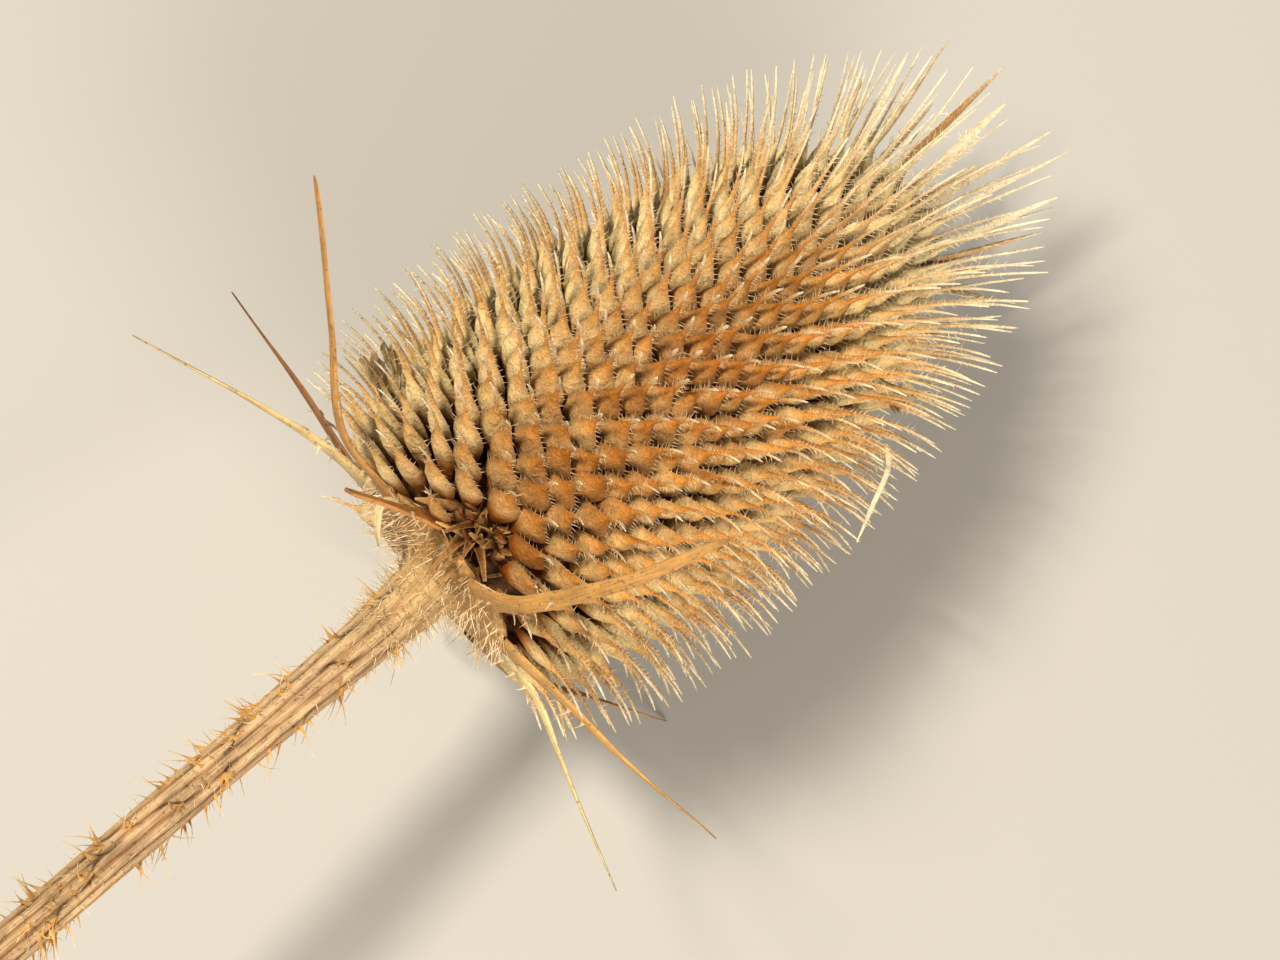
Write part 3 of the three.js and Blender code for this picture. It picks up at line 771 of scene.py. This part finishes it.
t = np.linspace(0, 1, BRACT_STATIONS)
turn = np.linspace(0, 2 * np.pi, BRACT_AROUND, endpoint=False)
for name, (side, width, sway, colour, stops) in BRACTS.items():
    side = math.radians(side)
    broken = name == "broken_bract"
    stops = np.array(stops)
    midline = smooth_path(stops[:, :1] * AXIS + stops[:, 1:] * outward(side), BRACT_STATIONS)
    length = np.linalg.norm(np.diff(midline, axis=0), axis=1).sum()
    drift = sway * np.sin(np.pi * 1.3 * t) + 0.12 * np.sin(9 * t + side)
    midline = midline + (drift * np.sin(np.pi * t) ** 0.5)[:, None] * sideways(side)
    leading = unit(np.gradient(midline, axis=0))
    rocked = 0.35 * np.sin(4 * t + 3 * side) * t
    level = unit(sideways(side) - leading * (leading @ sideways(side))[:, None])
    breadth = level * np.cos(rocked)[:, None] + np.cross(leading, level) * np.sin(rocked)[:, None]
    topside = np.cross(breadth, leading)
    topside = topside * np.sign((topside @ -AXIS).sum())
    if broken:
        taper = np.interp(t, [0, 0.2, 0.6, 0.9, 0.97, 1.0], [0.7, 0.75, 0.95, 1.0, 0.75, 0.3])
        thick = np.interp(t, [0, 0.1, 0.5, 1.0], [0.55, 0.4, 0.26, 0.08]) * 0.7
    elif name == BLUNT_BRACT:
        taper = np.interp(t, [0, 0.12, 0.3, 0.6, 0.9, 0.97, 1.0], [1.5, 1.1, 0.72, 0.5, 0.46, 0.42, 0.25])
        thick = np.interp(t, [0, 0.3, 0.9, 1.0], [0.5, 0.4, 0.34, 0.2])
    else:
        taper = np.interp(
            t, [0, 0.05, 0.12, 0.25, 0.5, 0.8, 0.94, 0.985, 1.0],
            [1.7, 1.5, 1.15, 0.95, 0.74, 0.5, 0.36, 0.22, 0.06],
        )
        thick = np.interp(t, [0, 0.1, 0.5, 1.0], [0.55, 0.4, 0.26, 0.08])
    half_width = width / 2 * taper * (1 + 0.04 * np.sin(17 * t + side) + 0.03 * np.sin(41 * t))
    # the outer face has a keel and five fine ribs, and the inner one is shallow
    ribs = 1 + 0.22 * np.cos(5 * np.cos(turn) * np.pi) * (np.sin(turn) > -0.2)
    raised = np.abs(np.sin(turn)) ** 0.8 + 0.55 * np.exp(-((np.cos(turn) / 0.28) ** 2))
    keel = np.where(np.sin(turn) > 0, raised, 0.35 * np.sin(turn))
    wide = half_width[:, None] * np.cos(turn)
    deep = thick[:, None] * keel * ribs
    points = midline[:, None] + wide[..., None] * breadth[:, None] + deep[..., None] * topside[:, None]
    faces, ends = capped(1, BRACT_STATIONS, BRACT_AROUND)
    if np.dot(np.cross(breadth[0], topside[0]), leading[0]) <= 0:
        faces, ends = faces[:, ::-1], ends[:, ::-1]
    base = paint(colour)
    tone = np.interp(t, [0, 0.12, 0.5, 0.93, 1.0], [0.75, 1.0, 1.05, 1.0, 0.55])[:, None] * base
    colours = tone[:, None] * np.where(np.sin(turn) < 0, 0.85, 1.0)[None, :, None]
    across_map = wide + (np.sin(turn) < 0) * INNER_FACE_ON_MAP
    grain_uv = np.stack(np.broadcast_arrays(across_map, (t * length)[:, None]), -1)
    bract_points = [points.reshape(-1, 3)]
    bract_tint = [colours.reshape(-1, 3)]
    bract_uv = [grain_uv.reshape(-1, 2)]
    shells, caps = [faces], [ends]
    if not broken:
        # each prickle stands on the left edge, on the right edge or on the keel
        at = np.sort(dice.uniform(0.06, 0.5, BRACT_THORNS) ** 1.3 * BRACT_STATIONS).astype(int)
        kind = dice.integers(0, 3, BRACT_THORNS)[:, None]
        to_edge = breadth[at] * half_width[at, None]
        to_keel = topside[at] * thick[at, None] * 1.2
        aim = np.choose(kind, [breadth[at], -breadth[at], topside[at]])
        roots = midline[at] + np.choose(kind, [to_edge, -to_edge, to_keel]) * 0.85
        ways = unit(aim + 0.35 * topside[at] + 0.25 * leading[at])
        spikes, spike_faces, spike_ends = hooked(
            roots, ways, -0.45 * leading[at], dice.uniform(0.7, 1.5, BRACT_THORNS),
            THORN_THICKNESS, leading[at], len(bract_points[0]),
        )
        tip_pale = np.array([0.8, 0.9, 1.0, 1.15, 1.2])[:, None, None] * blend(base, IVORY, 0.4)
        bract_points.append(spikes.reshape(-1, 3))
        bract_tint.append(np.broadcast_to(tip_pale, spikes.shape).reshape(-1, 3))
        bract_uv.append(dice.random((spikes.size // 3, 2)))
        shells.append(spike_faces)
        caps.append(spike_ends)
    made = piece(
        "snapped_bract" if broken else name.replace("involucral_", ""),
        np.concatenate(bract_points),
        shells + caps,
        dry_bract,
        np.concatenate(bract_tint),
        np.concatenate(bract_uv),
        crease=55,
    )
    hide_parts(name)


# ----------------------------------------------------------
# Stem: a stiff dry stalk with lengthwise ribs and grooves, flared into a neck that carries the
# head and its bracts. It was cut across, which left a woody ring round the shrunken pith.
STEM_END = -70.0
# position along the stem and its radius: the cut end's six rows, then the stalk, then the neck
STEM = np.array([
    [STEM_END + 1.2, 0.0], [STEM_END + 1.1, 0.45], [STEM_END + 0.7, 0.85],
    [STEM_END + 0.1, 1.15], [STEM_END, 1.3], [STEM_END, 1.6],
    [STEM_END + 0.25, 1.8], [-60, 1.81], [-48, 1.82], [-30, 1.84], [-22, 1.88], [-14, 2.02],
    [-10, 2.18], [-6, 2.45], [-3.8, 2.7], [-2.8, 3.0], [-2.2, 3.9], [-1.95, 6.0],
    [-1.75, 7.4], [-1.45, 8.4], [-1.0, 8.6], [-0.6, 8.1], [-0.3, 7.0], [-0.3, 0.0],
])
CUT_ROWS = 6
NECK_ROW = 13
# position along the stem, and how far it bows out to one side of the head's axis
STEM_BOW = [[STEM_END, 2.8], [-38, 1.8], [-22, 1.3], [-10, 0.95], [-4, 0.6], [-1.9, 0.0]]
RIBS = 11
STEM_AROUND = 154
STEM_STATIONS = 560
SEAMS = 40
SEAM_DEPTH = 0.13
seam_x = -6.5 - 62.0 * (np.arange(SEAMS) + dice.random(SEAMS)) / SEAMS
seam_side = dice.integers(0, RIBS, SEAMS) * 2 * np.pi / RIBS
seam_turn = dice.choice([-1.0, 1.0], SEAMS)


def middle_of_stem(x):
    """The middle of the stem at each position along it: on the head's axis, moved by the bow."""
    return np.stack([x, np.zeros_like(x), along(STEM_BOW, x, 1)], -1)


def seamed(x, side):
    """How deep each place lies in a seam, from 0 to 1: every seam is a short S-shaped line that
    steps across one rib, about 4 mm long and a seventh of a millimetre wide."""
    ahead = x[..., None] - seam_x
    line = seam_side + seam_turn * 0.3 * np.tanh(ahead / 0.5)
    apart = (side[..., None] - line + np.pi) % (2 * np.pi) - np.pi
    deep = np.exp(-((apart * 1.9 / 0.15) ** 2)) * np.exp(-((ahead / 1.9) ** 4))
    return deep.max(-1)


def ribbed(x, side):
    """How far the stem's surface stands out at each place, as a share of its radius: one plus a
    wave for the ribs, uneven in height and wandering, with finer ridges and low knots on it."""
    wander = 0.10 * np.sin(x * 0.11) + 0.05 * np.sin(x * 0.31 + side)
    crest = np.abs(np.cos(RIBS / 2 * (side + wander))) ** 0.6
    uneven = 0.75 + 0.25 * np.sin(side * 3 + 1) * np.sin(side * 2 + x * 0.05)
    fine_ridges = np.sin(37 * side + 5 * np.sin(x * 0.2)) + np.sin(53 * side - 3 * np.sin(x * 0.13))
    knots = 0.012 * np.sin(x * 1.9 + 3 * side) * np.sin(x * 0.63 + 7 * side)
    fade = np.interp(x, [STEM_END, STEM_END + 1.2, -7, -3, -1.2], [0.3, 1, 0.8, 0.4, 0.15])
    return 1 + fade * (0.12 * (crest * uneven - 0.62) + 0.008 * fine_ridges + knots)


gone = np.concatenate([[0], np.cumsum(np.hypot(*np.diff(STEM, axis=0).T))])
dense = np.concatenate([np.linspace(0, gone[-1], STEM_STATIONS), gone[: CUT_ROWS + 1], gone[NECK_ROW:]])
dense = np.sort(dense)
stem_x = np.interp(dense, gone, STEM[:, 0])
stem_r = np.interp(dense, gone, STEM[:, 1])
outside = dense > gone[CUT_ROWS - 1]
stem_side = np.linspace(0, 2 * np.pi, STEM_AROUND, endpoint=False)
swell = np.where(outside[:, None], ribbed(stem_x[:, None], stem_side), 1.0)
seam = seamed(*np.broadcast_arrays(stem_x[:, None], stem_side)) * outside[:, None]
stem_out = (stem_r[:, None] * swell - SEAM_DEPTH * seam)[..., None] * outward(stem_side)
stem_points = middle_of_stem(stem_x)[:, None] + stem_out
# the edge of the neck's rim is wavy
waves = 0.16 * np.sin(10 * stem_side) + 0.12 * np.sin(23 * stem_side + 1)
wavy_rim = np.exp(-(((stem_x + 1.4) / 0.9) ** 2))[:, None] * waves
stem_points = stem_points + (wavy_rim * (stem_r[:, None] > 6))[..., None] * outward(stem_side)
STRAW, GROOVE_SHADE, PITH, RING, NECK = (
    paint(c) for c in ("#d9bb90", "#875a32", "#e8dfc8", "#a9855a", "#bfa270")
)
RIM_GOLD = paint("#b98848")
# painted shade: the grooves between the ribs, on the stalk, the neck and the rim, are a darker brown than
# the crests
height = np.clip((swell - 0.94) / 0.085, 0, 1)[..., None]
stem_tint = blend(GROOVE_SHADE, STRAW, height)
on_neck = np.interp(stem_x, [-12, -4], [0, 1])[:, None, None]
on_rim = np.interp(stem_x, [-3.0, -1.9], [0, 1])[:, None, None]
stem_tint = blend(stem_tint, blend(GROOVE_SHADE, NECK, 0.4 + 0.6 * height), on_neck)
stem_tint = blend(stem_tint, RIM_GOLD * (0.7 + 0.3 * height), 0.7 * on_rim)
# painted shade: the short seams are darkened almost to black
stem_tint = blend(stem_tint, GROOVE_SHADE * 0.12, 0.95 * seam[..., None])
cut_face = np.interp(dense, gone[:CUT_ROWS], [1, 1, 1, 0.8, 0, 0])[:, None, None]
stem_tint = np.where(outside[:, None, None], stem_tint, blend(RING, PITH, cut_face))
stem_uv = np.stack(np.broadcast_arrays(stem_side * 3.0, stem_x[:, None]), -1)
stem_faces = grid_faces(len(dense), STEM_AROUND)

# dry woody straw, dull: fibres about 0.2 mm wide that run on for 3 to 4 mm, blotches of 4 mm and
# specks of 0.4 mm. These are how many of each there are to a millimetre.
STEM_FIBRES = (5.0, 0.28)
STEM_BLOTCHES = 0.26
STEM_SPECKS = 2.3
STEM_GRAIN_DEPTH = 0.12 * METRES
dry_stem, skin = finish_of("dry_stem", Roughness=0.68, Specular_IOR_Level=0.3)
place = node(dry_stem, "TexCoord").outputs["Object"]
speckled = {"Scale": STEM_SPECKS / METRES, "Detail": 3, "Roughness": 0.7}
fibres = drawn_out(dry_stem, *STEM_FIBRES, Detail=5, Roughness=0.65)
blotch = node(dry_stem, "TexNoise", {"Scale": STEM_BLOTCHES / METRES, "Detail": 4}, Vector=place)
specks = node(dry_stem, "TexNoise", speckled, Vector=place)
streaks = node(dry_stem, "MapRange", spread(0.3, 0.7, 0.62, 1.3), Value=fibres)
patches = node(dry_stem, "MapRange", spread(0.35, 0.65, 0.78, 1.15), Value=blotch)
freckles = node(dry_stem, "MapRange", spread(0.3, 0.44, 0.42, 1.0), Value=specks)
mottle(dry_stem, skin, streaks, patches, freckles)
relief = node(dry_stem, "Bump", {"Strength": 0.8, "Distance": STEM_GRAIN_DEPTH}, Height=fibres)
wire(dry_stem, relief, skin.inputs["Normal"])
made = piece("stalk", stem_points, stem_faces, dry_stem, stem_tint, stem_uv, crease=60)
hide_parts("stem")


# ----------------------------------------------------------
# Prickles: hooked spines on the ribs of the stem, with long feet, that lean back towards the
# cut end. Pale and horny, browner at the foot. They grow out of the stem's skin.
CLUSTERS = 104
IN_CLUSTER = 3
PRICKLES = CLUSTERS * IN_CLUSTER
cluster_x = np.concatenate([seam_x, -6.0 - 62.0 * dice.random(CLUSTERS - SEAMS)])
cluster_side = np.concatenate([seam_side, dice.integers(0, RIBS, CLUSTERS - SEAMS) * 2 * np.pi / RIBS])
prickle_x = np.repeat(cluster_x, IN_CLUSTER) + dice.normal(0, 0.5, PRICKLES)
prickle_side = np.repeat(cluster_side, IN_CLUSTER) + dice.normal(0, 0.16, PRICKLES)
on_skin = along(STEM[CUT_ROWS:], prickle_x, 1) * ribbed(prickle_x, prickle_side)
roots = middle_of_stem(prickle_x) + (on_skin * 0.97)[:, None] * outward(prickle_side)
tall = dice.uniform(1.4, 2.9, PRICKLES)
leant_back = dice.normal(-0.35, 0.3, (PRICKLES, 1)) * AXIS
leant_over = dice.normal(0, 0.3, (PRICKLES, 1)) * sideways(prickle_side)
ways = unit(outward(prickle_side) + leant_back + leant_over)
bent_back = -AXIS * dice.normal(0.2, 0.3, (PRICKLES, 1))
spikes, spike_faces, spike_ends = hooked(
    roots, ways, bent_back, tall, 0.055 + 0.022 * tall, np.broadcast_to(AXIS, roots.shape), 0
)
HORN, HORN_TIP = (paint(c) for c in ("#d6a258", "#f0d8a2"))
shades = np.stack([blend(STRAW, HORN, 0.5), HORN, HORN, blend(HORN, HORN_TIP, 0.6), HORN_TIP])
colours = np.broadcast_to(shades[:, None], spikes.shape) * dice.uniform(0.8, 1.1, (PRICKLES, 1, 1, 1))
own_spot = dice.random((PRICKLES, 1, 1, 2)) * 30
own_spot = np.broadcast_to(own_spot, (*spikes.shape[:3], 2))
spike_sides = [spike_faces, spike_ends]
piece("stem_prickles", spikes, spike_sides, dry_stem, colours, own_spot, crease=60)


# ----------------------------------------------------------
# Neck bristles: a dense pale fuzz of fine stiff hairs that grow from the neck and its rim, where
# the stem meets the head. They thin out down the stem, where they're shorter.
# how many there are, how many of them grow low down the stem, and how many on the rim
BRISTLES = 1400
LOW_DOWN = 420
ON_RIM = 420
bristle_x = -1.5 - 8.0 * dice.random(BRISTLES) ** 1.2
bristle_x[:LOW_DOWN] = -7.0 - 52.0 * dice.random(LOW_DOWN) ** 1.3
bristle_x[LOW_DOWN : LOW_DOWN + ON_RIM] = dice.uniform(-2.2, -1.1, ON_RIM)
bristle_side = dice.uniform(0, 2 * np.pi, BRISTLES)
on_skin = along(STEM[CUT_ROWS:-3], bristle_x, 1) * ribbed(bristle_x, bristle_side)
roots = middle_of_stem(bristle_x) + (on_skin * 0.98)[:, None] * outward(bristle_side)
backward = np.where(np.arange(BRISTLES) < LOW_DOWN, 0.4, np.where(bristle_x > -2.2, 1.3, 0.6))[:, None]
ways = unit(outward(bristle_side) - backward * AXIS + dice.normal(0, 0.6, (BRISTLES, 3)))
bristle_length = dice.uniform(0.7, 2.7, BRISTLES) * np.where(np.arange(BRISTLES) < LOW_DOWN, 0.55, 1)
hair_points, hair_faces = needles(roots, ways, bristle_length, dice.uniform(0.03, 0.065, BRISTLES), 0)
colours = blend(FIBRE, IVORY, dice.uniform(0.35, 1.0, (BRISTLES, 1, 1)))
colours = np.broadcast_to(colours, hair_points.shape)
piece("neck_bristles", hair_points, hair_faces, dry_scale, colours)


# ----------------------------------------------------------
# Torn scales: what is left of the scales that broke away at the foot of the head. Thin curled
# shreds of dry skin, dark inside and pale at their torn edges, still rooted in the core.
SHREDS = 70
shred_x = dice.uniform(-0.7, 3.0, SHREDS)
shred_side = dice.normal(0.05, 0.2, SHREDS)
t = np.linspace(0, 1, 6)
roots = shred_x[:, None] * AXIS + (along(CORE[1:], shred_x, 1) - 0.4)[:, None] * outward(shred_side)
leant_on = dice.normal(0.1, 0.5, (SHREDS, 1)) * AXIS
leant_over = dice.normal(0, 0.5, (SHREDS, 1)) * sideways(shred_side)
lead = unit(outward(shred_side) + leant_on + leant_over)
aside = unit(np.cross(lead, dice.normal(0, 1, (SHREDS, 3))))
curl = dice.normal(0, 0.7, (SHREDS, 1, 1)) * (t**2)[None, :, None]
long = dice.uniform(1.2, 3.4, (SHREDS, 1, 1))
facing_way = np.cross(aside, lead)
shred_path = roots[:, None] + long * (t[None, :, None] * lead[:, None] + curl * facing_way[:, None])
shred_heading = unit(np.gradient(shred_path, axis=1))
shred_across = np.broadcast_to(aside[:, None], shred_path.shape)
shred_outer = np.cross(shred_across, shred_heading)
ragged = np.array([0.7, 0.9, 1.0, 0.85, 0.6, 0.25]) * dice.uniform(0.75, 1.25, (SHREDS, len(t)))
shred_half = ragged * dice.uniform(0.15, 0.6, (SHREDS, 1))
shred_bulge = 0.05 + shred_half * dice.uniform(0.1, 0.7, (SHREDS, 1))
shreds = keeled(shred_path, shred_across, shred_outer, shred_half, shred_bulge, 0.07 - shred_bulge)
shells, ends = capped(SHREDS, len(t), len(SECTION))
PITHY, TORN = (paint(c) for c in ("#6b370b", "#e2b774"))
share = np.clip(t**2 * 0.7 + dice.normal(0, 0.1, (SHREDS, 1)), 0, 1)
share = share * dice.uniform(0.2, 1.0, (SHREDS, 1))
torn_edges = np.array([0.55, 0, 0, 0, 0.55, 0, 0]) * dice.uniform(0, 1, (SHREDS, 1, 1))
share = np.clip(share[..., None] + torn_edges, 0, 1)
colours = blend(PITHY, TORN, share[..., None])
piece("torn_scales", shreds.reshape(-1, 3), [shells, ends], dry_scale, colours, crease=40)


# ----------------------------------------------------------
# Withered florets: papery crumpled tubes, the remains of flowers. They're thin, dull and pale,
# open at the mouth, and held only by the awns that they're caught between.
# root, tip and width of each
FLORETS = [
    [[3.4, 2.5, -13.4], [4.6, 3.2, -17.2], 0.95],
    [[4.8, 3.5, -13.8], [6.4, 4.6, -16.9], 0.8],
    [[36.2, 6.0, 10.4], [38.6, 5.0, 13.8], 0.75],
    [[37.5, 4.0, 10.2], [37.2, 5.0, 13.6], 0.5],
    [[47.2, 3.2, 1.8], [50.6, 4.4, 2.8], 0.55],
    [[46.6, 1.6, -3.4], [49.4, 3.0, -4.6], 0.45],
]
FLORET_WALL = 0.07
UP, DOWN, ROUND = 16, 15, 28
PAPER = paint("#d6c094")
# each wall is one sheet that runs up the outside and down the inside
rise = np.concatenate([np.linspace(0, 1, UP), np.linspace(1, 0.05, DOWN)])
wall = np.concatenate([np.zeros(UP), np.full(DOWN, FLORET_WALL)])
turn = np.linspace(0, 2 * np.pi, ROUND, endpoint=False)
spot = np.arange(ROUND)
after = (spot + 1) % ROUND
last = (UP + DOWN - 1) * ROUND
bottom = np.stack([spot + last, after + last, after, spot], -1)
floret_faces = np.concatenate([grid_faces(UP + DOWN, ROUND), bottom])
for i, (root, tip, width) in enumerate(FLORETS):
    root, tip = np.array(root), np.array(tip)
    way = unit(tip - root)
    one = unit(np.cross(way, [0.3, 0.5, 0.8]))
    other = np.cross(way, one)
    swell = width * np.interp(rise, [0, 0.25, 0.6, 0.85, 1], [0.25, 0.45, 0.8, 1.0, 0.9])
    folds = 1 + 0.3 * np.sin(4 * turn + 5 * rise[:, None] + i)
    folds = folds + 0.22 * np.sin(7 * turn - 9 * rise[:, None] + 2 * i)
    folds = folds + 0.1 * np.sin(13 * turn + 17 * rise[:, None])
    across = (swell[:, None] * folds - wall[:, None])[..., None]
    bent = 0.35 * np.sin(3 * rise + i)[:, None, None] * one
    lobes = (0.1 * np.sin(4 * turn + i) * np.clip(rise[:, None] - 0.8, 0, 1) * 5)[..., None] * (tip - root)
    points = root + rise[:, None, None] * (tip - root) + bent + lobes
    points = points + across * (np.cos(turn)[:, None] * one + 0.55 * np.sin(turn)[:, None] * other)
    # painted shade: each wall is darker in the creases, where its folds pull in
    shade = PAPER * (0.45 + 0.55 * np.clip(folds - 0.4, 0, 1))[..., None]
    piece(f"withered_floret_{i + 1}", points, floret_faces, dry_scale, shade)


# ----------------------------------------------------------
# Strays: a broken awn lodged among the others, one awn kinked near its tip, and a dry sliver
# beside the bracts. Slim round straws of the same dry tissue as the scales.
# the half thickness of each, its colour, and points along it
STRAYS = {
    "loose_awn": (0.26, "#f3e6c2",
        [[33.2, 9.0, 15.3], [31.8, 10.4, 16.6], [28.0, 11.4, 18.4], [24.9, 12.0, 19.8]]),
    "kinked_awn": (0.2, "#ecd9a8",
        [[47.4, 2.0, -5.5], [51.5, 2.2, -8.6], [55.2, 0.4, -10.3], [55.5, 0.0, -12.3]]),
    "dry_sliver": (0.18, "#dcc08c",
        [[-0.3, 0.6, 13.6], [-0.5, 0.4, 14.9], [-1.2, 0.0, 16.4], [-1.9, 0.0, 17.9]]),
}
STRAY_STATIONS = 18
STRAY_AROUND = 8
KINK_STATION = 13
turn = np.linspace(0, 2 * np.pi, STRAY_AROUND, endpoint=False)[:, None]
for name, (thickness, colour, stops) in STRAYS.items():
    if name == "kinked_awn":
        up_to_kink = smooth_path(stops[:3], KINK_STATION)
        beyond_kink = smooth_path(stops[2:], STRAY_STATIONS - KINK_STATION + 1)[1:]
        stray_path = np.concatenate([up_to_kink, beyond_kink])
    else:
        stray_path = smooth_path(stops, STRAY_STATIONS)
    leading = unit(np.gradient(stray_path, axis=0))
    one = unit(np.cross(leading, [0.2, 0.9, 0.3]))
    other = np.cross(leading, one)
    ring = np.cos(turn) * one[:, None] + np.sin(turn) * other[:, None]
    slim = np.interp(np.linspace(0, 1, STRAY_STATIONS), [0, 0.1, 0.7, 1], [0.6, 1, 0.8, 0.2])
    points = stray_path[:, None] + (thickness * slim)[:, None, None] * ring
    tones = np.broadcast_to(paint(colour), points.shape)
    piece(name, points, [*capped(1, STRAY_STATIONS, STRAY_AROUND)], dry_scale, tones, crease=60)
